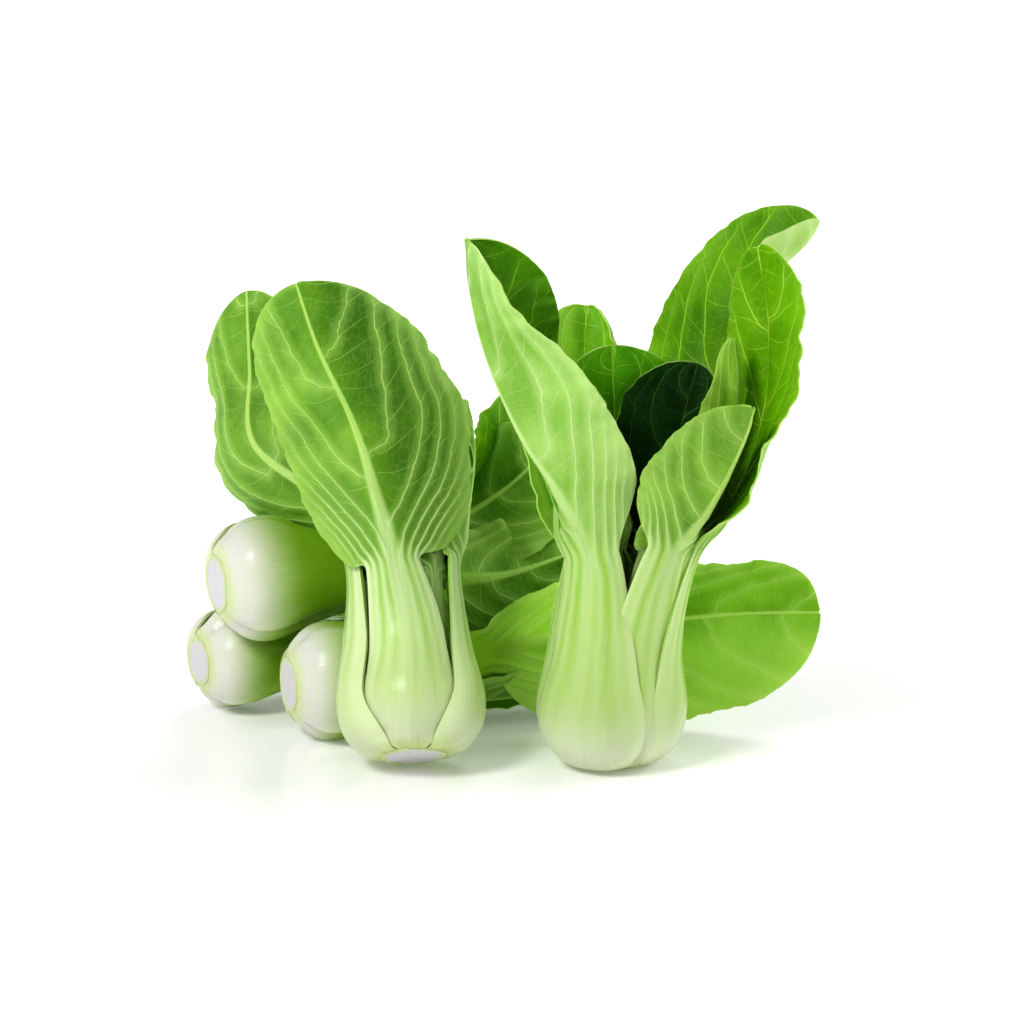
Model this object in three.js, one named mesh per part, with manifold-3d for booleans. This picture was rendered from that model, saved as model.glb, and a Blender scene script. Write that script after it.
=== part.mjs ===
// A bunch of Shanghai bok choy: three heads lie in a pile, one leans back on them and one stands on its cut end.
// Millimetres, +Z up. The origin is on the table, in the middle of the bunch's footprint.
import * as THREE from "three";
import { mergeVertices } from "three/addons/utils/BufferGeometryUtils.js";
import Module from "manifold-3d";

// The middle of the footprint, from the foot of the standing head's axis.
const middle = [-39, 60.4];

const cutRadius = 10.8;
const bladeThick = 0.9;
const stalkEdge = 1.3;
const gap = 0.35;

// Each whorl's stations from the foot to the belly: how far out and up, how thick, and how far round the head's
// axis the stalk reaches to each side, in degrees. waist and neck are [half width, thickness, radius of the trough].
const whorls = {
  outer: {
    sink: 0,
    hug: 2.6,
    stations: [[11.4, 0.6, 4.2], [18.2, 2.2, 5], [24.6, 9, 5.5], [27, 20, 5.5]],
    reach: [65, 64, 60, 51],
    waist: [17.5, 4.6, 21],
    neck: [11, 4, 16],
  },
  second: {
    sink: 1.8,
    hug: 0,
    stations: [[11.4, 0.6, 3.4], [18.2, 2.2, 4.2], [24.6, 9, 4.6], [27, 20, 4.6]],
    reach: [22, 34, 43, 45],
    waist: [16, 4.2, 20],
    neck: [10.6, 3.8, 15],
  },
  third: {
    sink: 0,
    hug: 0,
    stations: [[7.6, 7.8, 3], [11.3, 9.6, 3.4], [14, 15, 3.6], [15.2, 26, 3.6]],
    reach: [32, 38, 42, 44],
    waist: [10, 3.2, 12],
    neck: [6.6, 2.8, 9],
  },
  heart: {
    sink: 0,
    hug: 0,
    stations: [[3.9, 12.8, 2], [6, 15, 2.2], [7.6, 21, 2.4], [8, 31, 2.4]],
    reach: [40, 42, 42, 44],
    waist: [5.4, 2.2, 7],
    neck: [4, 2, 5.5],
  },
};
const bellyStation = 3;
const waistStation = 4;
const neckStation = 5;

// A leaf is given by its turn about the head's axis, its whorl, and its midline from the waist to the tip
// as [out, side, up]. half is the blade's greatest half width. Where a value is a pair, it is for the two sides.
// fold is the angle at the midrib, cup the angle gained from there to the margin, both in degrees, curl and
// tipCurl are gained at the very margin, twist turns the blade about its midline, and tuck draws the stalk's
// margins in under its neighbours. lobe draws the blade's base back, wave ruffles its margin.
const usual = { widest: 0.5, blunt: 2.6, tuck: 0, fold: 6, cup: 35, curl: 0, tipCurl: 0, twist: 0, lobe: 8, wave: 1.6, colour: 0x5c9a1e };
const threeRound = [42, 52, 56, 57];
const heads = [
  {
    name: "standing",
    foot: [0, 6, 0],
    tilt: 0,
    yaw: 0,
    scale: 1,
    leaves: [
      {
        name: "front_left", turn: 243, whorl: "outer", reach: threeRound, half: [34, 34], fine: true,
        fold: [30, 10], cup: [55, 35], twist: [-35, -80], blunt: [3.4, 6], colour: 0x93c651,
        line: [[21.5, 1, 46], [16, -1, 76], [19.5, -9, 97], [25, -21, 118], [29.5, -32, 146], [30, -37, 165], [30, -40, 182]],
      },
      {
        name: "front_right", turn: 303, whorl: "second", half: [24, 17], tuck: 6.5, fine: true,
        fold: [12, 20], cup: [35, 55], twist: 8, colour: 0x85b04b,
        line: [[23, 3, 45], [27, 8, 78], [37, 14, 96], [45, 18, 113], [50, 22, 129]],
      },
      {
        name: "right", turn: 358, whorl: "outer", reach: threeRound, half: [23, 17], fine: true,
        cup: [25, 25], twist: [20, 60], widest: [0.56, 0.52], blunt: [1.6, 2.2], lobe: 3, colour: 0x66a607,
        line: [[25, -1, 41], [30, -2, 73], [44, -3, 98], [52, -1, 124], [53, 3, 152], [49, 9, 178]],
      },
      {
        name: "back_right", turn: 60, whorl: "second", half: [31, 25], tuck: 6.5, fine: true,
        cup: [25, 20], tipCurl: [150, 0], twist: -12, blunt: [4, 2.2],
        line: [[21, -2, 48], [28, -8, 80], [41, -15, 112], [50, -18, 138], [56, -22, 157], [61, -31, 171], [68, -45, 184]],
      },
      {
        name: "back", turn: 118, whorl: "outer", reach: threeRound, half: [21, 22],
        cup: 25, tipCurl: [120, 0], twist: -15, blunt: 3.4, colour: 0x83b45a,
        line: [[23, 0, 46], [22, -3, 72], [30, -6, 98], [41, -12, 126], [51, -19, 152]],
      },
      {
        name: "back_left", turn: 178, whorl: "second", half: 15, tuck: 6.5,
        cup: 40, twist: -10, colour: 0x3d8605,
        line: [[21, 0, 46], [15, -4, 70], [12, -13, 94], [12, -23, 115], [13, -31, 132]],
      },
      {
        name: "inner_left", turn: 120, whorl: "third", half: 29,
        cup: 20, twist: -10, blunt: 3.4, colour: 0x3d8605,
        line: [[13, 0, 46], [9, -2, 68], [7, -5, 92], [8, -6, 116], [10, -6, 144]],
      },
      {
        name: "inner_right", turn: 35, whorl: "third", half: [17, 24],
        cup: 30, twist: 35, blunt: 3.4, colour: 0x234f16,
        line: [[13, 0, 46], [12, -3, 70], [16, -6, 92], [21, -10, 114], [27, -13, 139]],
      },
      {
        name: "inner_front", turn: 322, whorl: "third", half: 14,
        cup: [25, 30],
        line: [[13.5, 1, 46], [16, 3, 74], [30, 12, 102], [37, 18, 126], [36, 20, 149]],
      },
      {
        name: "heart_front", turn: 250, whorl: "heart", half: 10,
        cup: 50,
        line: [[7, 0, 46], [5.5, 0, 62], [6, 0, 80], [7, 0, 96], [9, 0, 112]],
      },
      {
        name: "heart_back", turn: 80, whorl: "heart", half: 9,
        cup: 50,
        line: [[7, 0, 46], [5, 0, 62], [4, 0, 78], [4, 0, 92], [5, 0, 106]],
      },
    ],
  },
  {
    name: "leaning",
    foot: [-67, -11.5, 6.7],
    tilt: 31,
    yaw: 96,
    scale: 0.95,
    leaves: [
      {
        name: "front", turn: 270, whorl: "second", reach: [24, 40, 50, 52], half: [26, 43], tuck: 3, fine: true,
        fold: 2, cup: [14, 18], curl: 12, lobe: 9, widest: 0.52, blunt: [4.5, 3], colour: 0x81bb40,
        line: [[21, 0, 44], [15, -4, 70], [12, -8, 90], [12, -16.5, 124], [12, -29, 156], [15, -36, 181]],
      },
      {
        name: "left", turn: 177, whorl: "outer", half: [28, 24], fine: true,
        fold: [20, -6], cup: [45, 12], twist: [70, 92], widest: [0.64, 0.5], blunt: [4, 3], lobe: 2, colour: 0x7db345,
        line: [[24, -2, 44], [22, -3, 72], [29, -5, 100], [56, -8, 128], [57, -9, 158], [58, -9, 191]],
      },
      {
        name: "right", turn: 3, whorl: "outer", half: [17, 26],
        cup: [40, 40], twist: -12,
        line: [[23, 2, 42], [20, 4, 72], [23, 8, 94], [27, 12, 118], [27, 15, 142]],
      },
      {
        name: "back", turn: 90, whorl: "second", half: [26, 30], tuck: 6.5,
        cup: [45, 45],
        line: [[21, 0, 44], [18, 0, 70], [20, 0, 98], [22, -4, 130], [22, -9, 158]],
      },
      {
        name: "inner_left", turn: 215, whorl: "third", half: 16,
        cup: [15, 15], twist: [60, 66],
        line: [[13, -1, 46], [9, -5, 70], [11, -12, 98], [18, -19, 126], [26, -26, 152], [29, -28, 174]],
      },
      {
        name: "inner_right", turn: 325, whorl: "third", half: 18,
        cup: [55, 45],
        line: [[13.5, 2, 46], [10.5, 5, 68], [9.5, 8, 86], [11, 10, 106], [14, 12, 126]],
      },
      {
        name: "inner_back", turn: 120, whorl: "third", half: 20,
        cup: 45,
        line: [[12.5, 0, 46], [9, -1, 68], [10, -4, 92], [11, -8, 116], [11, -13, 138]],
      },
      {
        name: "heart", turn: 270, whorl: "heart", half: 12,
        cup: 50,
        line: [[7, 0, 46], [5, 0, 62], [4, 0, 78], [3, -2, 92], [3, -4, 106]],
      },
    ],
  },
  {
    name: "front_lying",
    foot: [-113, 29, 20.8],
    tilt: 90,
    yaw: 22,
    scale: 0.85,
    leaves: [
      {
        name: "front", turn: 275, whorl: "outer", reach: [68, 69, 68, 64], half: [25, 41], fine: true,
        cup: [30, 6], twist: -6, widest: [0.56, 0.44], blunt: [9, 4], colour: 0x7db324,
        line: [[21, 0, 50], [17, -4, 84], [24, -8, 114], [40, -9.5, 150], [57, -9, 184], [71, -6, 214]],
      },
      {
        name: "top", turn: 185, whorl: "second", half: 20, tuck: 6.5,
        cup: 40,
        line: [[20, 0, 48], [13, 0, 76], [13, 0, 108], [15, 0, 136], [18, 0, 164]],
      },
      {
        name: "back", turn: 95, whorl: "outer", half: [24, 28],
        cup: 30,
        line: [[21, 0, 46], [18, 1, 74], [22, 3, 106], [27, 4, 138], [32, 4, 170]],
      },
      {
        name: "under", turn: 5, whorl: "second", half: 18, tuck: 6.5,
        cup: 40,
        line: [[20, 0, 46], [14, 0, 72], [14, 0, 100], [15, 0, 128], [16, 0, 156]],
      },
      {
        name: "inner", turn: 230, whorl: "third", half: 15,
        cup: 50,
        line: [[12.5, 0, 46], [7, 0, 68], [4, 0, 96], [4, 0, 122], [5, 0, 148]],
      },
    ],
  },
  {
    name: "top_lying",
    foot: [-140, 48, 53],
    tilt: 88,
    yaw: 26,
    scale: 0.92,
    leaves: [
      {
        name: "top", turn: 208, whorl: "second", half: [37, 28], tuck: 5, fine: true,
        cup: 20, twist: [25, 45],
        line: [[20, -2, 50], [10, -4, 88], [13, -2, 110], [26, 1, 132], [44, 2, 150]],
      },
      {
        name: "front", turn: 276, whorl: "outer", reach: [68, 69, 68, 64], half: 22,
        cup: 30,
        line: [[21.5, 2, 48], [19, 12, 84], [20, 15, 110], [22, 12, 134], [24, 8, 152]],
      },
      {
        name: "back", turn: 118, whorl: "outer", half: 30, fine: true,
        cup: 20,
        line: [[20, -2, 48], [16, -6, 84], [21, 0, 112], [27, 24, 138], [34, 58, 155]],
      },
      {
        name: "under", turn: 10, whorl: "second", half: 18, tuck: 5,
        cup: 45,
        line: [[20, 0, 46], [16, 0, 72], [17, 0, 98], [18, 0, 124], [20, 0, 150]],
      },
      {
        name: "inner", turn: 355, whorl: "third", half: 13,
        cup: 50,
        line: [[12.5, 0, 46], [8, 0, 70], [6, 0, 94], [6, 0, 116], [7, 0, 138]],
      },
    ],
  },
  {
    name: "back_lying",
    foot: [-149, 64, 19.8],
    tilt: 90,
    yaw: 31,
    scale: 0.78,
    leaves: [
      {
        name: "front", turn: 304, whorl: "outer", half: 22,
        cup: 35,
        line: [[21, 0, 48], [18, 0, 78], [20, 0, 112], [24, 0, 144], [28, 0, 176]],
      },
      {
        name: "top", turn: 214, whorl: "second", half: 20, tuck: 6.5,
        cup: 40,
        line: [[20, 0, 46], [13, 0, 74], [12, 0, 104], [13, 0, 134], [16, 0, 164]],
      },
      {
        name: "back", turn: 124, whorl: "outer", half: [26, 30],
        cup: 30,
        line: [[21, 0, 48], [18, 0, 78], [21, 0, 112], [26, 0, 144], [32, 0, 176]],
      },
      {
        name: "under", turn: 34, whorl: "second", half: 18, tuck: 6.5,
        cup: 40,
        line: [[20, 0, 46], [13, 0, 72], [12, 0, 100], [12, 0, 128], [13, 0, 156]],
      },
      {
        name: "inner", turn: 250, whorl: "third", half: 14,
        cup: 50,
        line: [[12.5, 0, 46], [7, 0, 68], [5, 0, 94], [5, 0, 120], [6, 0, 144]],
      },
    ],
  },
];

const { lerp, smoothstep, degToRad, clamp } = THREE.MathUtils;
const bothSides = (value) => (Array.isArray(value) ? value : [value, value]);

// The value at station s of a smooth line through a list.
function through(list, s) {
  const i = Math.min(Math.floor(s), list.length - 2);
  const f = s - i;
  const [a, b, c, d] = [-1, 0, 1, 2].map((k) => list[clamp(i + k, 0, list.length - 1)]);
  return b + 0.5 * f * (c - a + f * (2 * a - 5 * b + 4 * c - d + f * (3 * (b - c) + d - a)));
}

// The leaf's midline, in steps from foot to tip, with the directions along it, out from the head and sideways.
const stepsPerStation = 12;
function midline(leaf) {
  const { stations } = whorls[leaf.whorl];
  const points = [
    ...stations.map(([out, up]) => new THREE.Vector3(out, 0, up)),
    ...leaf.line.map((place) => new THREE.Vector3(...place)),
  ];
  const curve = new THREE.CatmullRomCurve3(points);
  const tipStation = points.length - 1;
  const count = tipStation * stepsPerStation;
  const steps = [];
  for (let i = 0; i <= count; i++) {
    const place = curve.getPoint(i / count);
    const ahead = curve.getTangent(i / count);
    const last = steps.at(-1);
    const guess = last ? last.outward : new THREE.Vector3(ahead.z, 0, -ahead.x);
    const outward = guess.clone().addScaledVector(ahead, -guess.dot(ahead)).normalize();
    const length = last ? last.length + place.distanceTo(last.place) : 0;
    steps.push({ station: i / stepsPerStation, place, ahead, outward, length });
  }
  const neck = steps[neckStation * stepsPerStation].length;
  for (const step of steps) step.blade = Math.max(0, (step.length - neck) / (steps[count].length - neck));
  return steps;
}

// How far a point of a cross-section lies beside the midline and in from it, for a half width of 1,
// and how far the section has turned there.
const sectionSteps = 10;
function section(fold, cup, curl, u) {
  const angleAt = (a) => fold + cup * a + curl * a ** 1.5;
  let beside = 0;
  let inward = 0;
  for (let i = 0; i < sectionSteps; i++) {
    const angle = angleAt((Math.abs(u) * (i + 0.5)) / sectionSteps);
    beside += (Math.cos(angle) * Math.abs(u)) / sectionSteps;
    inward += (Math.sin(angle) * Math.abs(u)) / sectionSteps;
  }
  const side = Math.sign(u);
  return { beside: side * beside, inward, angle: side * angleAt(Math.abs(u)) };
}

// The blade's outline, from 0 at the neck to 1 at its widest and round to the tip.
function swell(b, widest, blunt) {
  if (b < widest) return Math.sin((Math.PI / 2) * (b / widest)) ** 0.85;
  return Math.sqrt(Math.max(0, 1 - ((b - widest) / (1 - widest)) ** blunt));
}

// One point of the leaf, u from -1 to 1 across it; face is 0 on the outside and 1 on the inside.
function leafPoint(leaf, step, u, face, grow) {
  const { station: s, blade: b, place, ahead } = step;
  const { sink, hug, stations, waist, neck } = whorls[leaf.whorl];
  const side = u < 0 ? 0 : 1;
  const stalk = Math.min(s, neckStation);
  const reach = leaf.reach ?? whorls[leaf.whorl].reach;
  const halves = [...stations.map((row, i) => row[0] * degToRad(reach[i])), waist[0], neck[0]];
  const thicks = [...stations.map((row) => row[2]), waist[1], neck[1]];
  const radii = [...stations.map((row) => row[0]), waist[2], neck[2]];
  const a = Math.abs(u);

  // The half width: the stalk's, then the blade's, which swells from the neck and rounds off at the tip.
  const spread = (bothSides(leaf.half)[side] - 4) * swell(b, bothSides(leaf.widest)[side], bothSides(leaf.blunt)[side]);
  const half = through(halves, stalk) * (1 - 0.85 * b) + spread + grow;

  // The thickness: a crescent in the stalk, and in the blade a midrib that fades to the tip.
  const isBlade = smoothstep(b, 0, 0.18);
  const ribHalf = lerp(9, 2, Math.sqrt(b));
  const rib = lerp(3.6, 0.9, Math.sqrt(b)) * Math.exp(-(((u * half) / ribHalf) ** 2));
  const crescent = stalkEdge + (through(thicks, stalk) - stalkEdge) * (1 - u * u);
  const thick = lerp(crescent, bladeThick + rib, isBlade);
  const tuck = (sink + bothSides(leaf.tuck)[side] * a ** 1.1 + hug * a ** 3) * smoothstep(s, 0, 1.5);
  const depth = tuck - isBlade * rib - grow + face * (thick + 2 * grow);

  // In the swollen base the leaf is part of a surface turned about the head's axis.
  const flat = Math.hypot(ahead.x, ahead.z);
  const turn = (u * half) / place.x;
  const out = place.x - (ahead.z / flat) * depth;
  const round = new THREE.Vector3(
    out * Math.cos(turn),
    place.y + out * Math.sin(turn),
    place.z + (ahead.x / flat) * depth,
  );
  if (s <= bellyStation) return round;

  // From the waist up it is a trough about its own midline, which opens into the blade.
  const open = smoothstep(b, 0, 0.3);
  const cup = lerp(through(halves, stalk) / through(radii, stalk), degToRad(bothSides(leaf.cup)[side]), open);
  const fold = degToRad(bothSides(leaf.fold)[side]) * open;
  const curl = degToRad(
    bothSides(leaf.curl)[side] * open + bothSides(leaf.tipCurl)[side] * smoothstep(b, 0.55, 0.85),
  );
  const { beside, inward, angle } = section(fold, cup, curl, u);
  const [twistEarly, twistLate] = bothSides(leaf.twist).map(degToRad);
  const twist = lerp(twistEarly * smoothstep(b, 0, 0.35), twistLate, smoothstep(b, 0.35, 1));
  const across = ahead.clone().cross(step.outward);
  const outward = step.outward.clone().applyAxisAngle(ahead, twist);
  across.applyAxisAngle(ahead, twist);
  const beforeTip = 1 - smoothstep(b, 0.8, 0.97);
  const ruffle = leaf.wave * a ** 3 * Math.sin(2 * Math.PI * (3.2 * b + 0.3 * side)) * open * beforeTip;
  const fromBase = smoothstep(b, 0, 0.12) * (1 - smoothstep(b, 0.12, 0.5));
  const fade = 1 - smoothstep(s, bellyStation, neckStation - 0.4);
  const inset = (s < neckStation ? depth - tuck + tuck * fade : depth - tuck) + ruffle;
  const point = place
    .clone()
    .addScaledVector(across, beside * half - Math.sin(angle) * inset)
    .addScaledVector(outward, -inward * half - Math.cos(angle) * inset)
    .addScaledVector(ahead, -leaf.lobe * a ** 1.5 * fromBase);
  return round.lerp(point, smoothstep(s, bellyStation, waistStation));
}

// The rows' stations in the stalk, and how many rows and columns the rest has.
const meshes = {
  fine: { stalk: [0, 0.5, 1, 1.75, 2.5, 3, 4, 5], perStation: 3, nearTip: [1 / 6, 1 / 12], columns: 6 },
  plain: { stalk: [0, 1, 2, 3, 4, 5], perStation: 2, nearTip: [1 / 6], columns: 4 },
};
function leafGeometry(leaf, grow = 0) {
  const steps = midline(leaf);
  const tipStation = (steps.length - 1) / stepsPerStation;
  const { stalk, perStation, nearTip, columns } = leaf.fine ? meshes.fine : meshes.plain;
  const rows = [...stalk];
  for (let s = neckStation + 1 / perStation; s < tipStation - 0.01; s += 1 / perStation) rows.push(s);
  rows.push(...nearTip.map((short) => tipStation - short), tipStation);
  const positions = [];
  for (const face of [0, 1]) {
    for (const row of rows) {
      const step = steps[Math.round(row * stepsPerStation)];
      for (let c = 0; c <= columns; c++) {
        const even = (2 * c) / columns - 1;
        const u = Math.sign(even) * Math.abs(even) ** lerp(1, 1.5, smoothstep(step.blade, 0, 0.2));
        positions.push(...leafPoint(leaf, step, u, face, grow).toArray());
      }
    }
  }
  const wide = columns + 1;
  const inside = rows.length * wide;
  const index = [];
  const quad = (a, b, c, d) => index.push(a, b, c, a, c, d);
  for (let r = 0; r + 1 < rows.length; r++) {
    for (let c = 0; c < columns; c++) {
      const at = r * wide + c;
      quad(at, at + 1, at + wide + 1, at + wide);
      index.push(inside + at, inside + at + wide + 1, inside + at + 1);
      index.push(inside + at, inside + at + wide, inside + at + wide + 1);
    }
    const left = r * wide;
    const right = left + columns;
    quad(left, left + wide, inside + left + wide, inside + left);
    quad(right, inside + right, inside + right + wide, right + wide);
  }
  for (let c = 0; c < columns; c++) {
    const tip = (rows.length - 1) * wide + c;
    quad(c, inside + c, inside + c + 1, c + 1);
    quad(tip, tip + 1, inside + tip + 1, inside + tip);
  }
  const geometry = new THREE.BufferGeometry();
  geometry.setAttribute("position", new THREE.Float32BufferAttribute(positions, 3));
  geometry.setIndex(index);
  return geometry.rotateZ(degToRad(leaf.turn));
}

// The short stem that the leaves grow from, with its cut face.
const crownProfile = [
  [0, 0], [cutRadius - 0.4, 0], [cutRadius, 0.6], [9.1, 4.6], [6.9, 7], [5.2, 10.6], [2.6, 12.2], [0, 14],
];
function crownGeometry() {
  const profile = crownProfile.map(([out, up]) => new THREE.Vector2(out, up));
  const turned = new THREE.LatheGeometry(profile, 16).rotateX(Math.PI / 2);
  return mergeVertices(turned.deleteAttribute("normal").deleteAttribute("uv"));
}

const bunch = new THREE.Group();
const leafMeshes = [];
for (const head of heads) {
  const group = new THREE.Group();
  const [x, y, z] = head.foot;
  group.position.set(x - middle[0], y - middle[1], z);
  const tiltAbout = new THREE.Vector3(-Math.sin(degToRad(head.yaw)), Math.cos(degToRad(head.yaw)), 0);
  group.quaternion.setFromAxisAngle(tiltAbout, degToRad(head.tilt));
  group.scale.setScalar(head.scale);
  const add = (name, geometry, colour) => {
    const material = new THREE.MeshStandardMaterial({ color: colour, roughness: 0.45, metalness: 0 });
    const mesh = new THREE.Mesh(geometry, material);
    mesh.name = `${head.name}_${name}`;
    group.add(mesh);
    return mesh;
  };
  add("crown", crownGeometry(), 0xd8dcc8);
  for (const own of head.leaves) {
    const leaf = { ...usual, ...own };
    const mesh = add(leaf.name, leafGeometry(leaf), leaf.colour);
    leafMeshes.push({ mesh, swollen: leafGeometry(leaf, gap) });
  }
  bunch.add(group);
}

// Where leaves would cross, the later one in the list is cut clear of the earlier one.
const wasm = await Module();
wasm.setup();
function solidOf(geometry, matrix) {
  const { index, attributes } = mergeVertices(geometry.clone().applyMatrix4(matrix), 1e-3);
  return new wasm.Manifold(
    new wasm.Mesh({ numProp: 3, vertProperties: attributes.position.array, triVerts: new Uint32Array(index.array) }),
  );
}
const largest = (solid) => solid.decompose().sort((a, b) => b.volume() - a.volume())[0];

bunch.updateMatrixWorld(true);
const placed = [];
for (const { mesh, swollen } of leafMeshes) {
  let solid = solidOf(mesh.geometry, mesh.matrixWorld);
  let keepOut = solidOf(swollen, mesh.matrixWorld);
  let isCut = false;
  for (const earlier of placed) {
    if (solid.intersect(earlier.keepOut).volume() < 0.005) continue;
    solid = solid.subtract(earlier.keepOut).subtract(earlier.solid);
    keepOut = keepOut.subtract(earlier.solid);
    isCut = true;
  }
  if (isCut) {
    solid = largest(solid);
    const { vertProperties, triVerts } = solid.getMesh();
    const cut = new THREE.BufferGeometry();
    cut.setAttribute("position", new THREE.BufferAttribute(vertProperties, 3));
    cut.setIndex(new THREE.BufferAttribute(triVerts, 1));
    mesh.geometry = cut.applyMatrix4(mesh.matrixWorld.clone().invert());
  }
  placed.push({ solid, keepOut });
}

export default bunch;
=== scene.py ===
# A bunch of Shanghai bok choy: three heads in a pile, one leaning back on them, one standing on its cut end.
# Lengths in the tables are millimetres; the mesh is made in metres.
import math
import bpy
import numpy as np
from mathutils import Matrix, Vector


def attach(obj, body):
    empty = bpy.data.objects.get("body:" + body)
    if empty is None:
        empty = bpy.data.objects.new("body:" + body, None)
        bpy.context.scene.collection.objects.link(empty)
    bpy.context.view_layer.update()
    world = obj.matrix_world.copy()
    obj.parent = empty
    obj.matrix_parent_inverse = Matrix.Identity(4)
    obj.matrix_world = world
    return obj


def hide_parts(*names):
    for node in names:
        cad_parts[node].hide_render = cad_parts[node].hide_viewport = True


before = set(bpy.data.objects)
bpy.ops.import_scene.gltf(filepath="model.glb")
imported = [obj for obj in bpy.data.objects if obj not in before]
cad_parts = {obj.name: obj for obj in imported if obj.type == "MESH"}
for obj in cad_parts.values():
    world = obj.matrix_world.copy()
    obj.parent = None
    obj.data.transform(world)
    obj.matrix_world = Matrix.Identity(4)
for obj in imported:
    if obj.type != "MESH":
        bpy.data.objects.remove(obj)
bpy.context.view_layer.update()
mm = 0.001
middle = Vector((-39, 60.4, 0))  # the footprint's middle, in the heads' frame

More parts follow.
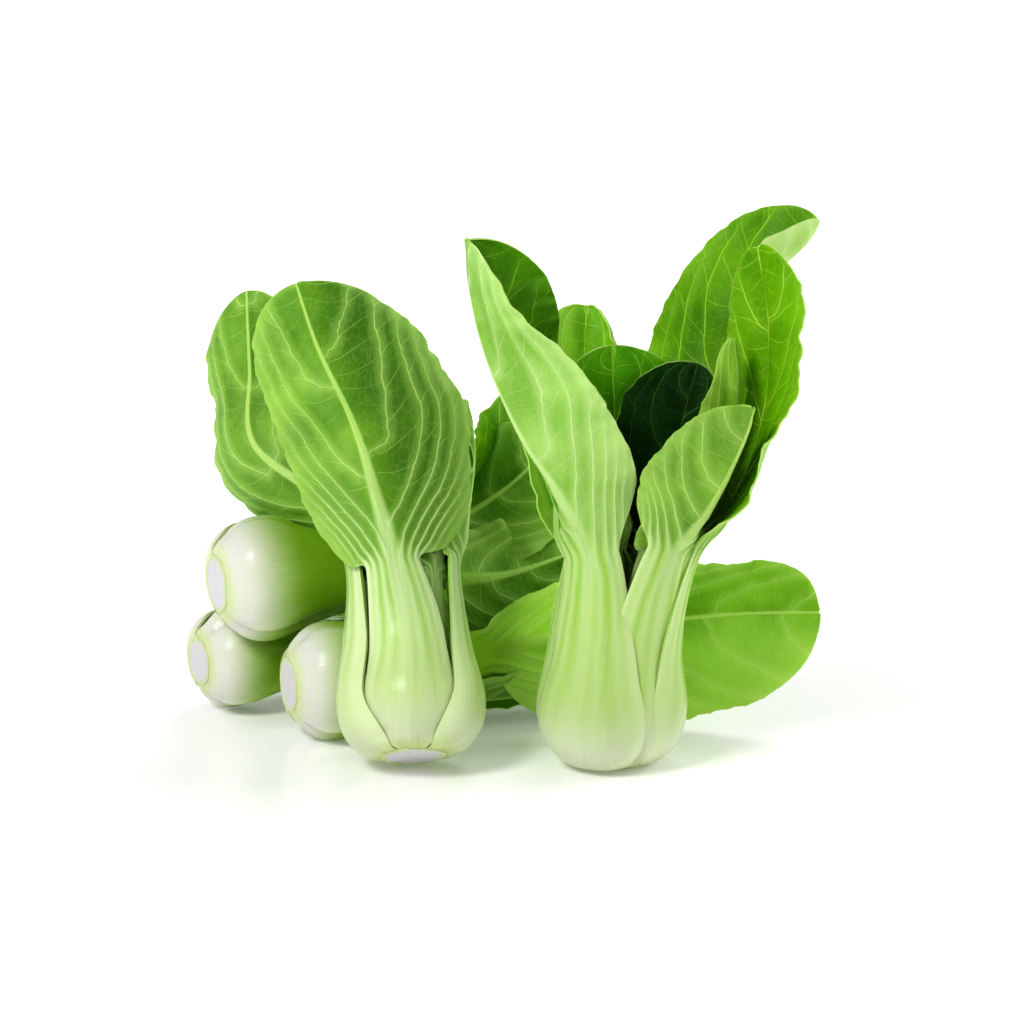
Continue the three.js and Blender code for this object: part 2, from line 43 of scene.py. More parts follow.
# A head stands on foot, tilted towards yaw, in degrees; white is how white its bulb is. Its own up is along it.
# A leaf starts at turn, in degrees round the head. line is its midline above the belly: [out, aside, up].
# Its other values are explained with usualLeaf and whorls. A pair is for the left and the right half of a leaf,
# seen from outside the head.
threeRound = [42, 52, 56, 57]  # reach of an outer leaf where three stand round the head
wrapRound = [68, 69, 68, 64]   # and of one that wraps a lying bulb
heads = [
    {"name": "standing", "foot": [0, 6, 0], "tilt": 0, "yaw": 0, "scale": 1, "white": 0.3, "leaves": [
        {"name": "front_left", "turn": 243, "whorl": "outer", "reach": threeRound, "half": [34, 34],
         "fine": True, "fold": [30, 10], "cup": [55, 35], "twist": [-35, -80], "blunt": [3.4, 6], "lobe": 2,
         "tone": "pale",
         "line": [[21.5, 1, 46], [16, -1, 76], [19.5, -9, 97], [25, -21, 118], [29.5, -32, 146],
                  [30, -37, 165], [30, -40, 182]]},
        {"name": "front_right", "turn": 303, "whorl": "second", "half": [24, 17], "tuck": 6.5, "fine": True,
         "fold": [12, 20], "cup": [35, 55], "twist": 8, "lobe": 2, "tone": "fresh",
         "line": [[23, 3, 45], [27, 8, 78], [37, 14, 96], [45, 18, 113], [50, 22, 129]]},
        {"name": "right", "turn": 358, "whorl": "outer", "reach": threeRound, "half": [23, 17], "fine": True,
         "cup": [25, 25], "twist": [20, 60], "widest": [0.56, 0.52], "blunt": [1.6, 2.2], "lobe": 3,
         "tone": "fresh",
         "line": [[25, -1, 41], [30, -2, 73], [44, -3, 98], [52, -1, 124], [53, 3, 152], [49, 9, 178]]},
        {"name": "back_right", "turn": 60, "whorl": "second", "half": [31, 25], "tuck": 6.5, "fine": True,
         "cup": [25, 20], "tipCurl": [150, 0], "twist": -12, "blunt": [4, 2.2], "tone": "curled",
         "line": [[21, -2, 48], [28, -8, 80], [41, -15, 112], [50, -18, 138], [56, -22, 157],
                  [61, -31, 171], [68, -45, 184]]},
        {"name": "back", "turn": 118, "whorl": "outer", "reach": threeRound, "half": [21, 22], "cup": 25,
         "tipCurl": [120, 0], "twist": -15, "blunt": 3.4, "tone": "lime",
         "line": [[23, 0, 46], [22, -3, 72], [30, -6, 98], [41, -12, 126], [51, -19, 152]]},
        {"name": "back_left", "turn": 178, "whorl": "second", "half": 15, "tuck": 6.5, "cup": 40, "twist": -10,
         "tone": "deep",
         "line": [[21, 0, 46], [15, -4, 70], [12, -13, 94], [12, -23, 115], [13, -31, 132]]},
        {"name": "inner_left", "turn": 120, "whorl": "third", "half": 29, "cup": 20, "twist": -10, "blunt": 3.4,
         "tone": "deep",
         "line": [[13, 0, 46], [9, -2, 68], [7, -5, 92], [8, -6, 116], [10, -6, 144]]},
        # this inner leaf wears the dark tone, which is painted shade
        {"name": "inner_right", "turn": 35, "whorl": "third", "half": [17, 24], "cup": 30, "twist": 35,
         "blunt": 3.4, "tone": "dark",
         "line": [[13, 0, 46], [12, -3, 70], [16, -6, 92], [21, -10, 114], [27, -13, 139]]},
        {"name": "inner_front", "turn": 322, "whorl": "third", "half": 14, "cup": [25, 30], "tone": "lime",
         "line": [[13.5, 1, 46], [16, 3, 74], [30, 12, 102], [37, 18, 126], [36, 20, 149]]},
        {"name": "heart_front", "turn": 250, "whorl": "heart", "half": 10, "cup": 50,
         "line": [[7, 0, 46], [5.5, 0, 62], [6, 0, 80], [7, 0, 96], [9, 0, 112]]},
        {"name": "heart_back", "turn": 80, "whorl": "heart", "half": 9, "cup": 50,
         "line": [[7, 0, 46], [5, 0, 62], [4, 0, 78], [4, 0, 92], [5, 0, 106]]},
    ]},
    {"name": "leaning", "foot": [-67, -11.5, 6.7], "tilt": 31, "yaw": 96, "scale": 0.95, "leaves": [
        {"name": "front", "turn": 270, "whorl": "second", "half": [26, 43], "tuck": 3,
         "reach": [24, 40, 50, 52], "fine": True, "fold": 2, "cup": [14, 18], "curl": 12, "lobe": 9,
         "widest": 0.52, "blunt": [4.5, 3], "tone": "broad", "veins": 3.4, "branching": 3,
         "line": [[21, 0, 44], [15, -4, 70], [12, -8, 90], [12, -16.5, 124], [12, -29, 156], [15, -36, 181]]},
        {"name": "left", "turn": 177, "whorl": "outer", "waist": [21.5, 4.6, 21], "neck": [14, 4, 16],
         "half": [28, 24], "fine": True, "fold": [20, -6], "cup": [45, 12], "twist": [70, 92],
         "widest": [0.64, 0.5], "blunt": [4, 3], "lobe": 2, "tone": "fresh",
         "line": [[24, -2, 44], [22, -3, 72], [29, -5, 100], [56, -8, 128], [57, -9, 158], [58, -9, 191]]},
        {"name": "right", "turn": 3, "whorl": "outer", "half": [13, 26], "cup": [40, 40], "twist": -12,
         "line": [[23, 2, 42], [20, 4, 72], [23, 8, 94], [27, 12, 118], [27, 15, 142]]},
        {"name": "back", "turn": 90, "whorl": "second", "half": [26, 30], "tuck": 6.5, "cup": [45, 45],
         "line": [[21, 0, 44], [18, 0, 70], [20, 0, 98], [22, -4, 130], [22, -9, 158]]},
        {"name": "inner_left", "turn": 215, "whorl": "third", "half": 16, "cup": [15, 15], "twist": [60, 66],
         "line": [[13, -1, 46], [9, -5, 70], [11, -12, 98], [18, -19, 126], [26, -26, 152], [29, -28, 174]]},
        {"name": "inner_right", "turn": 325, "whorl": "third", "half": 18, "cup": [55, 45],
         "line": [[13.5, 2, 46], [10.5, 5, 68], [9.5, 8, 86], [11, 10, 106], [14, 12, 126]]},
        {"name": "inner_back", "turn": 120, "whorl": "third", "half": 20, "cup": 45,
         "line": [[12.5, 0, 46], [9, -1, 68], [10, -4, 92], [11, -8, 116], [11, -13, 138]]},
        {"name": "heart", "turn": 270, "whorl": "heart", "half": 12, "cup": 50,
         "line": [[7, 0, 46], [5, 0, 62], [4, 0, 78], [3, -2, 92], [3, -4, 106]]},
    ]},
    {"name": "front_lying", "foot": [-113, 29, 20.8], "tilt": 90, "yaw": 22, "scale": 0.85, "white": 1, "leaves": [
        {"name": "front", "turn": 275, "whorl": "outer", "reach": wrapRound, "half": [25, 41],
         "cup": [30, 6], "twist": -6, "fine": True, "widest": [0.56, 0.44], "blunt": [9, 4], "tone": "lime",
         "veins": 2.4, "branching": 4.8,
         "line": [[21, 0, 50], [17, -4, 84], [24, -8, 114], [40, -9.5, 150], [57, -9, 184], [71, -6, 214]]},
        {"name": "top", "turn": 185, "whorl": "second", "half": 20, "tuck": 6.5, "cup": 40,
         "line": [[20, 0, 48], [13, 0, 76], [13, 0, 108], [15, 0, 136], [18, 0, 164]]},
        {"name": "back", "turn": 95, "whorl": "outer", "half": [24, 28], "cup": 30,
         "line": [[21, 0, 46], [18, 1, 74], [22, 3, 106], [27, 4, 138], [32, 4, 170]]},
        {"name": "under", "turn": 5, "whorl": "second", "half": 18, "tuck": 6.5, "cup": 40,
         "line": [[20, 0, 46], [14, 0, 72], [14, 0, 100], [15, 0, 128], [16, 0, 156]]},
        {"name": "inner", "turn": 230, "whorl": "third", "half": 15, "cup": 50,
         "line": [[12.5, 0, 46], [7, 0, 68], [4, 0, 96], [4, 0, 122], [5, 0, 148]]},
    ]},
    {"name": "top_lying", "foot": [-140, 48, 53], "tilt": 88, "yaw": 26, "scale": 0.92, "white": 1, "leaves": [
        {"name": "top", "turn": 208, "whorl": "second", "half": [37, 28], "tuck": 5, "cup": 20,
         "twist": [25, 45], "fine": True,
         "line": [[20, -2, 50], [10, -4, 88], [13, -2, 110], [26, 1, 132], [44, 2, 150]]},
        {"name": "front", "turn": 276, "whorl": "outer", "reach": wrapRound, "half": 22, "cup": 30,
         "line": [[21.5, 2, 48], [19, 12, 84], [20, 15, 110], [22, 12, 134], [24, 8, 152]]},
        {"name": "back", "turn": 118, "whorl": "outer", "half": 30, "cup": 20, "fine": True,
         "line": [[20, -2, 48], [16, -6, 84], [21, 0, 112], [27, 24, 138], [34, 58, 155]]},
        {"name": "under", "turn": 10, "whorl": "second", "half": 18, "tuck": 5, "cup": 45,
         "line": [[20, 0, 46], [16, 0, 72], [17, 0, 98], [18, 0, 124], [20, 0, 150]]},
        {"name": "inner", "turn": 355, "whorl": "third", "half": 13, "cup": 50,
         "line": [[12.5, 0, 46], [8, 0, 70], [6, 0, 94], [6, 0, 116], [7, 0, 138]]},
    ]},
    {"name": "back_lying", "foot": [-149, 64, 19.8], "tilt": 90, "yaw": 31, "scale": 0.78, "white": 1, "leaves": [
        {"name": "front", "turn": 304, "whorl": "outer", "half": 22, "cup": 35,
         "line": [[21, 0, 48], [18, 0, 78], [20, 0, 112], [24, 0, 144], [28, 0, 176]]},
        {"name": "top", "turn": 214, "whorl": "second", "half": 20, "tuck": 6.5, "cup": 40,
         "line": [[20, 0, 46], [13, 0, 74], [12, 0, 104], [13, 0, 134], [16, 0, 164]]},
        {"name": "back", "turn": 124, "whorl": "outer", "half": [26, 30], "cup": 30,
         "line": [[21, 0, 48], [18, 0, 78], [21, 0, 112], [26, 0, 144], [32, 0, 176]]},
        {"name": "under", "turn": 34, "whorl": "second", "half": 18, "tuck": 6.5, "cup": 40,
         "line": [[20, 0, 46], [13, 0, 72], [12, 0, 100], [12, 0, 128], [13, 0, 156]]},
        {"name": "inner", "turn": 250, "whorl": "third", "half": 14, "cup": 50,
         "line": [[12.5, 0, 46], [7, 0, 68], [5, 0, 94], [5, 0, 120], [6, 0, 144]]},
    ]},
]

# The stalk's stations from foot to belly are [out, up, thickness], and reach is how far round the head it goes
# there to either side, in degrees. waist and neck are [half width, thickness, radius of the trough].
# sink sets the whole leaf in under the outer ones, and hug presses its margins in.
whorls = {
    "outer": {
        "sink": 0, "hug": 2.6, "reach": [65, 64, 60, 51], "waist": [17.5, 4.6, 21], "neck": [11, 4, 16],
        "stations": [[11.4, 0.6, 4.2], [18.2, 2.2, 5], [24.6, 9, 5.5], [27, 20, 5.5]],
    },
    "second": {
        "sink": 1.8, "hug": 0, "reach": [31, 40, 45, 46], "waist": [16, 4.2, 20], "neck": [10.6, 3.8, 15],
        "stations": [[11.4, 0.6, 3.4], [18.2, 2.2, 4.2], [24.6, 9, 4.6], [27, 20, 4.6]],
    },
    "third": {
        "sink": 0, "hug": 0, "reach": [32, 38, 42, 44], "waist": [10, 3.2, 12], "neck": [6.6, 2.8, 9],
        "stations": [[7.6, 7.8, 3], [11.3, 9.6, 3.4], [14, 15, 3.6], [15.2, 26, 3.6]],
    },
    "heart": {
        "sink": 0, "hug": 0, "reach": [40, 42, 42, 44], "waist": [5.4, 2.2, 7], "neck": [4, 2, 5.5],
        "stations": [[3.9, 12.8, 2], [6, 15, 2.2], [7.6, 21, 2.4], [8, 31, 2.4]],
    },
}
bellyStation, waistStation, neckStation = 3, 4, 5
stepsPerStation = 20  # rows of the finest grid from one station to the next

usualLeaf = {
    "widest": 0.5,     # where the blade is widest, as a share of its length
    "blunt": 2.6,      # below 2 the tip is pointed, above 4 nearly square
    "tuck": 0,         # how far the stalk's margins go in under the next leaves
    "fold": 6,         # degrees that a half turns in at the midrib
    "cup": 35,         # degrees that it bends in from there to its margin
    "curl": 0,         # more bending near the margin
    "tipCurl": 0,      # the same near the tip alone
    "twist": 0,        # degrees that the blade turns about its midline; a pair is for its base and its tip
    "lobe": 8,         # how far the blade's base hangs down beside the neck
    "wave": 1.6,       # slow waves near the margin
    "fine": False,     # a finer grid, for leaves that are seen close
    "tone": "fresh",
    "rimThick": 0.6,   # the blade's thickness at its margin
    "quilt": 0.7,      # how far the blade swells between two veins
    "ridge": 0.6,      # how proud the veins stand at the neck
    "veins": 2.8,      # main veins beside the midrib, each side, at the neck
    "branching": 4,    # main veins that leave the midrib above the neck, each side
    "frill": 0.45,     # small ruffles at the very margin
    "jag": 0.28,       # how uneven the outline is
}


# a value for each half, also where one holds for both
def pair(value):
    return value if isinstance(value, list) else [value, value]


# 0 up to low, 1 from high on, soft between
def smoothstep(x, low, high):
    t = np.clip((x - low) / (high - low), 0, 1)
    return t * t * (3 - 2 * t)


# the value at station s of a smooth line through a list
def through(values, s):
    values = np.array(values, float)
    i = np.minimum(np.floor(s).astype(int), len(values) - 2)
    f = s - i
    a, b, c, d = (values[np.clip(i + k, 0, len(values) - 1)] for k in (-1, 0, 1, 2))
    return b + 0.5 * f * (c - a + f * (2 * a - 5 * b + 4 * c - d + f * (3 * (b - c) + d - a)))


# one point of a centripetal Catmull-Rom line through the points, at station s
def onCurve(points, s):
    last = len(points) - 1
    i = min(int(s), last - 1)
    f = s - i
    b, c = points[i], points[i + 1]
    a = points[i - 1] if i > 0 else 2 * points[0] - points[1]
    d = points[i + 2] if i + 2 <= last else 2 * points[last] - points[last - 1]
    ab, bc, cd = (math.sqrt((q - p).length) for p, q in ((a, b), (b, c), (c, d)))
    atB = ((b - a) / ab - (c - a) / (ab + bc) + (c - b) / bc) * bc
    atC = ((c - b) / bc - (d - b) / (bc + cd) + (d - c) / cd) * bc
    return b + f * (atB + f * (3 * (c - b) - 2 * atB - atC + f * (2 * (b - c) + atB + atC)))


# the leaf's midline from foot to tip, with the directions along it and out from the head
def midline(leaf):
    points = [Vector((out, 0, up)) for out, up, thick in whorls[leaf["whorl"]]["stations"]]
    points += [Vector(place) for place in leaf["line"]]
    tipStation = len(points) - 1
    nudge = 0.0001 * tipStation
    rows = {"station": [], "place": [], "ahead": [], "outward": [], "length": []}
    for i in range(tipStation * stepsPerStation + 1):
        s = i / stepsPerStation
        place = onCurve(points, s)
        before, after = onCurve(points, max(s - nudge, 0)), onCurve(points, min(s + nudge, tipStation))
        ahead = (after - before).normalized()
        guess = rows["outward"][-1] if i else Vector((ahead.z, 0, -ahead.x))
        outward = (guess - ahead * guess.dot(ahead)).normalized()
        length = rows["length"][-1] + (place - rows["place"][-1]).length if i else 0
        for key, value in zip(rows, (s, place, ahead, outward, length)):
            rows[key].append(value)
    return {key: np.array(value, float) for key, value in rows.items()}


# how far a point of a cross-section lies beside the midline and in from it, for a half width of 1, and its slope
def section(fold, cup, curl, u):
    a = np.abs(u)
    beside = inward = 0
    steps = 10  # from the midline to the point
    for i in range(steps):
        t = a * (i + 0.5) / steps
        angle = fold + cup * t + curl * t ** 1.5
        beside = beside + np.cos(angle) * a / steps
        inward = inward + np.sin(angle) * a / steps
    return np.sign(u) * beside, inward, np.sign(u) * (fold + cup * a + curl * a ** 1.5)


# the blade's outline, from 0 at the neck to 1 at its widest and round to the tip
def swell(b, widest, blunt):
    soft = 0.85 + 0.35 * (1 - smoothstep(b, 0, 0.2))  # it leaves the neck gently
    rise = np.sin(np.pi / 2 * np.clip(b / widest, 0, 1)) ** soft
    fall = np.sqrt(np.clip(1 - (np.clip(b - widest, 0, 1) / (1 - widest)) ** blunt, 0, 1))
    return np.where(b < widest, rise, fall)


# vectors turned about axes, for a whole grid at once
def turned(vector, axis, angle):
    cos, sin = np.cos(angle)[..., None], np.sin(angle)[..., None]
    return vector * cos + np.cross(axis, vector) * sin + axis * (np.sum(axis * vector, -1)[..., None]) * (1 - cos)


# How thick the flesh is, in millimetres
leafFlesh = {
    "stalkMargin": 1.3,
    "blade": 0.9,            # beside the midrib
    "ribHalf": [9, 2],       # the midrib's half width at the neck and at the tip
    "ribThick": [3.6, 0.9],  # what the midrib adds there
}


# The outer face of a leaf as rows and columns of points in the head's own space, with its thickness and
# the places that the skin's pattern needs.
def leafSurface(leaf, steps, u, seed):
    whorl = whorls[leaf["whorl"]]
    line = midline(leaf)
    at = np.arange(len(line["station"]))
    s = np.interp(steps, at, line["station"])[:, None]
    length = np.interp(steps, at, line["length"])[:, None]
    place, ahead, outward = (
        np.stack([np.interp(steps, at, line[key][:, k]) for k in range(3)], -1)[:, None, :]
        for key in ("place", "ahead", "outward"))
    ahead = ahead / np.linalg.norm(ahead, axis=-1, keepdims=True)
    outward = outward / np.linalg.norm(outward, axis=-1, keepdims=True)
    neckLength = line["length"][neckStation * stepsPerStation]
    bladeLength = line["length"][-1] - neckLength
    along = length - neckLength
    b = np.maximum(0, along / bladeLength)  # 0 up to the neck, 1 at the tip
    u = u[None, :]                          # -1 at the left margin, 1 at the right
    a = np.abs(u)
    right = u >= 0
    sided = lambda key: np.where(right, pair(leaf[key])[1], pair(leaf[key])[0])
    opened = smoothstep(b, 0, 0.3)
    beforeTip = 1 - smoothstep(b, 0.8, 0.97)

    # half width
    stations = whorl["stations"]
    reach = leaf.get("reach", whorl["reach"])
    waist, neck = leaf.get("waist", whorl["waist"]), leaf.get("neck", whorl["neck"])
    halves = [row[0] * math.radians(reach[i]) for i, row in enumerate(stations)] + [waist[0], neck[0]]
    thicks = [row[2] for row in stations] + [waist[1], neck[1]]
    radii = [row[0] for row in stations] + [waist[2], neck[2]]
    stalk = np.minimum(s, neckStation)
    stalkHalf = through(halves, stalk)
    half = stalkHalf * (1 - 0.85 * b) + (sided("half") - 4) * swell(b, sided("widest"), sided("blunt"))

    # thickness: a crescent across the stalk, then a thin blade with its midrib
    isBlade = smoothstep(b, 0, 0.18)
    ribHalf, ribThick = (
        atNeck + (atTip - atNeck) * np.sqrt(b) for atNeck, atTip in (leafFlesh["ribHalf"], leafFlesh["ribThick"]))
    rib = ribThick * np.exp(-((u * half / ribHalf) ** 2)) * (1 - smoothstep(b, 0.88, 0.99))
    crescent = leafFlesh["stalkMargin"] + (through(thicks, stalk) - leafFlesh["stalkMargin"]) * (1 - u * u)
    bladeThick = leafFlesh["blade"] + (leaf["rimThick"] - leafFlesh["blade"]) * a ** 2
    thick = crescent + (bladeThick + rib - crescent) * isBlade
    tuck = (whorl["sink"] + sided("tuck") * a ** 1.1 + whorl["hug"] * a ** 3) * smoothstep(s, 0, 1.5)
    depth = tuck - isBlade * rib

    # the bulb is turned round the head's axis
    flat = np.hypot(ahead[..., 0], ahead[..., 2])
    turn = u * half / place[..., 0]
    out = place[..., 0] - ahead[..., 2] / flat * depth
    lathe = np.stack([out * np.cos(turn), place[..., 1] + out * np.sin(turn),
                      place[..., 2] + ahead[..., 0] / flat * depth + 0 * u], -1)

    # above it every cross-section bends to its own cup, fold, curl and twist
    stalkCup = stalkHalf / through(radii, stalk)
    cup = stalkCup + (np.radians(sided("cup")) - stalkCup) * opened
    fold = np.radians(sided("fold")) * opened
    curl = np.radians(sided("curl") * opened + sided("tipCurl") * smoothstep(b, 0.55, 0.85))
    beside, inward, angle = section(fold, cup, curl, u)
    early, late = (math.radians(v) for v in pair(leaf["twist"]))
    lower = early * smoothstep(b, 0, 0.35)
    twist = (lower + (late - lower) * smoothstep(b, 0.35, 1)) + 0 * u
    across = turned(np.cross(ahead, outward) + 0 * u[..., None], ahead + 0 * u[..., None], twist)
    facing = turned(outward + 0 * u[..., None], ahead + 0 * u[..., None], twist)

    # Main veins run up the stalk side by side, fan out at the neck and part from the midrib one by one.
    # veinCount is a whole number on each of them.
    draw = np.random.default_rng(seed)
    phase = draw.uniform(0, 1, 8)
    drift = 0.07 * np.sin(2 * np.pi * (1.1 * b + phase[3] + 0.4 * right)) * opened
    bow = 1.3 + 0.8 * opened
    fan = 1
    if leaf["fine"]:
        fan = half / (stalkHalf + (sided("half") - stalkHalf) * smoothstep(b, 0, 0.5))
    fromMidrib = ((a + drift * a) * np.maximum(fan, 0.2)) ** bow
    veinCount = leaf["veins"] * fromMidrib - leaf["branching"] * b ** 0.9 + np.where(right, phase[0], phase[1])

    lobe = leaf["lobe"] * a ** 1.5 * (smoothstep(b, 0, 0.12) * (1 - smoothstep(b, 0.12, 0.5)))
    fade = 1 - smoothstep(s, bellyStation, neckStation - 0.4)
    inset = np.where(s < neckStation, depth - tuck + tuck * fade, depth - tuck)
    uneven = leaf["jag"] * a ** 4 * opened * beforeTip * (
        np.sin(2 * np.pi * (along / 9 + phase[2]))
        + 0.6 * np.sin(2 * np.pi * (along / 4.3 + phase[4] + 0.5 * right))
        + 2 * np.sin(2 * np.pi * (along / 41 + phase[5] + 0.3 * right)))
    mix = smoothstep(s, bellyStation, waistStation)[..., None]

    def placed(inset):
        point = (place + across * (beside * half - np.sin(angle) * inset + np.sign(u) * uneven)[..., None]
                 + facing * (-inward * half - np.cos(angle) * inset)[..., None]
                 - ahead * lobe[..., None])
        return np.where(s[..., None] <= bellyStation, lathe, lathe + (point - lathe) * mix)

    # the space between two main veins, in millimetres
    smooth = placed(inset)
    columnGap, rowGap = (
        np.maximum(np.linalg.norm(np.gradient(smooth, axis=k), axis=-1), 0.05) for k in (1, 0))
    spacing = 1 / np.hypot(np.gradient(veinCount, axis=1) / columnGap, np.gradient(veinCount, axis=0) / rowGap)
    spacing = np.clip(spacing, 1, 40)

    # veins stand out, the blade swells between them and its margin is ruffled
    offVein = np.abs(veinCount - np.round(veinCount)) * spacing
    veinHalf = 0.22 + 1.0 * np.exp(-4.5 * b)
    besideRib = smoothstep(a * half, 0.4, 3)
    ridgeHeight = leaf["ridge"] * np.exp(-1.8 * b) * smoothstep(along, -55, 5) * (1 - 0.5 * a)
    ridge = ridgeHeight * np.exp(-(offVein / (1.6 * veinHalf)) ** 2) * besideRib
    quilt = leaf["quilt"] * np.sin(np.pi * veinCount) ** 2 * opened * smoothstep(spacing, 2, 9)
    quilt = quilt * (1 - a ** 3) * besideRib
    wavy = 2 * np.pi * (3.2 * b + 0.3 * right)
    ruffle = leaf["wave"] * a ** 3 * np.sin(wavy) * opened * beforeTip
    frill = leaf["frill"] * a ** 6 * opened * beforeTip * (
        np.sin(2 * np.pi * (9.3 * b + phase[6] + 0.4 * right)) + 0.6 * np.sin(2 * np.pi * (17 * b + phase[7])))
    full = np.ones_like(half)
    return {
        "points": placed(inset + ruffle + frill + quilt - ridge), "thick": thick * full,
        "leafPlace": np.stack([u * half, along * full, a * full], -1),
        "leafVein": np.stack([veinCount * full, spacing * full, b * full], -1),
        "leafOwn": np.stack([seed * 7.3 * full, length / neckLength * full, leaf["white"] * full], -1),
    }


# sRGB hex to the linear colour that the sockets take
def linear(text):
    parts = [int(text[i:i + 2], 16) / 255 for i in (1, 3, 5)]
    return [p / 12.92 if p <= 0.04045 else ((p + 0.055) / 1.055) ** 2.4 for p in parts] + [1]


def newMaterial(name):
    material = bpy.data.materials.new(name)
    material.use_nodes = True
    return material, material.node_tree, material.node_tree.nodes["Principled BSDF"]


# adds a node with its settings; an input is a value, a node's output, or a node whose first output is meant
def addNode(tree, kind, inputs=(), **settings):
    node = tree.nodes.new("ShaderNode" + kind)
    for key, value in settings.items():
        setattr(node, key, value)
    for key, value in dict(inputs).items():
        if isinstance(value, bpy.types.Node):
            value = value.outputs[0]
        if isinstance(value, bpy.types.NodeSocket):
            tree.links.new(value, node.inputs[key])
        else:
            node.inputs[key].default_value = value
    return node


# Leaf skin: living cell layers under a thin wax. Light passes a little way in, so it has subsurface colour,
# a soft gloss, pale raised veins and a ribbed stalk that pales to its foot.
# under and upper hold the light green, the dark green and the vein colour of each face; far paints shade on the
# right half of the leaf, or paints light on it below 0.
tones = {
    "pale": {
        "under": ["#9cc662", "#7cac3e", "#cbe49c"], "upper": ["#5c9606", "#3c7200", "#9ccb44"],
        "far": 0, "rim": "#b4d880",
    },
    "fresh": {
        "under": ["#7aa834", "#548616", "#b8da74"], "upper": ["#6ea800", "#4c8600", "#b6de4c"],
        "far": 0, "rim": "#8cc43c",
    },
    "broad": {
        "under": ["#7cae2e", "#568c10", "#bade74"], "upper": ["#569800", "#387400", "#98cc36"],
        # painted shade on the right half of this leaf
        "far": 0.7, "rim": "#a0cc60",
    },
    "lime": {
        "under": ["#98cc38", "#78b00c", "#c4e678"], "upper": ["#84c014", "#68a606", "#c0e468"],
        # painted light on the right half of these leaves
        "far": -0.5, "rim": "#9ccc50",
    },
    "curled": {
        "under": ["#accf74", "#8cb850", "#d2e8a8"], "upper": ["#6ea600", "#4c8400", "#b6de4c"],
        "far": 0, "rim": "#96cc40",
    },
    "deep": {
        "under": ["#548a1c", "#376808", "#84b83e"], "upper": ["#66b408", "#448c02", "#a8da48"],
        "far": 0, "rim": "#6ca828",
    },
    # dark is painted shade: a near-black copy of the leaf greens, for a leaf deep in the head's shade
    "dark": {
        "under": ["#2a5618", "#1a3e0e", "#4c7c30"], "upper": ["#17400f", "#0c2a08", "#3c7028"],
        "far": 0, "rim": "#3c6c1c",
    },
}
skinLook = {
    "cloud": 22,        # mm across the clouds that mottle the green and bend the veins
    "veinBend": 0.14,   # share of the space between two veins
    "veinTaper": -4.5,  # veins and midrib thin out by this power of e from neck to tip
    "ribTaper": -3.2,
    "branchApart": 13,  # mm between branches that climb from one main vein to the next
    "netCell": 4,       # mm across a cell of the net of small veins, drawn coarser than it is, to show
    "netWobble": 3.0,   # mm that its lines stray
    "stringWide": 1.3,  # mm across a string of the stalk
    "stringLong": 40,
    "relief": 0.0003,   # metres that veins and strings stand proud
    "stalk": [(0.0, "#b6c686"), (0.1, "#cad4b2"), (0.35, "#c4d898"),  # from foot to neck
              (0.65, "#c8e09c"), (0.85, "#c4dca0"), (1.0, "#c0dc98")],
    # the furrows' green: partly their own, partly painted shade in the grooves
    "furrowGreenAndShade": "#8cbe12",
    # painted rim light on the stalk's margins
    "stalkMargin": "#dcebb8",
    "streak": "#d4e2b4",
    "bulbWhite": "#dadad2",
    "bulbOlive": "#80ac04",
    "foot": "#c4d48c",
    # painted shade and painted light, laid on one half of a leaf
    "paintedShadeGreen": "#2c5c00",
    "paintedLightGreen": "#b8e264",
}


